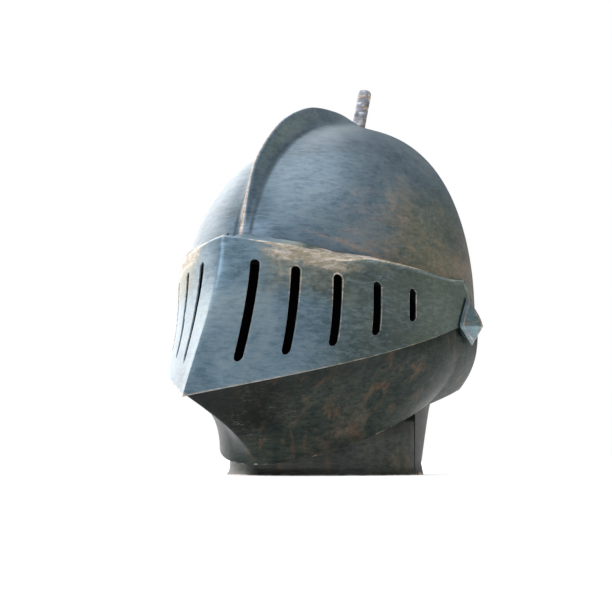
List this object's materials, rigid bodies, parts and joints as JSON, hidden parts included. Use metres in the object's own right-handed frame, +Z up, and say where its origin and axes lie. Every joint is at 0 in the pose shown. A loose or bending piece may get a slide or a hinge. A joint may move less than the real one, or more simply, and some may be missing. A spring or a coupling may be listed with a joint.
{
  "type": "close helmet",
  "caption": "Closed steel knight's helmet with a prow-shaped slotted visor, keeled bevor, high comb, pyramid pivot caps, plume stub and open neck.",
  "frame": {"origin": "middle of the helmet's footprint, on the surface that its neck rim rests on", "axes": "+Z up, -Y the way the face looks, +X the wearer's left, along the visor's pivot axis"},
  "size_m": [0.2486, 0.35, 0.3221],
  "materials": {
    "skull_steel": "patinated slate blue with grey-green and copper traces, satin",
    "neck_steel": "dark brown-olive patina, satin",
    "stub_steel": "flaky grey and brown, rough",
    "bevor_steel": "dark green-black patina with rust streaks, satin",
    "visor_steel": "blue-grey patina with worn copper edges, satin",
    "cap_steel": "blue-grey patina with worn edges, satin"
  },
  "bodies": {
    "skull": {"skull": "skull_steel", "neck_front": "neck_steel", "plume_stub": "stub_steel"},
    "bevor": {"bevor": "bevor_steel"},
    "visor": {"visor": "visor_steel", "pivot_cap_left": "cap_steel", "pivot_cap_right": "cap_steel"}
  },
  "joints": [
    {"name": "bevor_pivot", "type": "hinge", "parent": "skull", "child": "bevor", "pos_m": [0, 0.057, 0.118], "axis": [-1, 0, 0], "range_deg": [0, 18]},
    {"name": "visor_pivot", "type": "hinge", "parent": "bevor", "child": "visor", "pos_m": [0, 0.057, 0.118], "axis": [-1, 0, 0], "range_deg": [0, 40]}
  ]
}
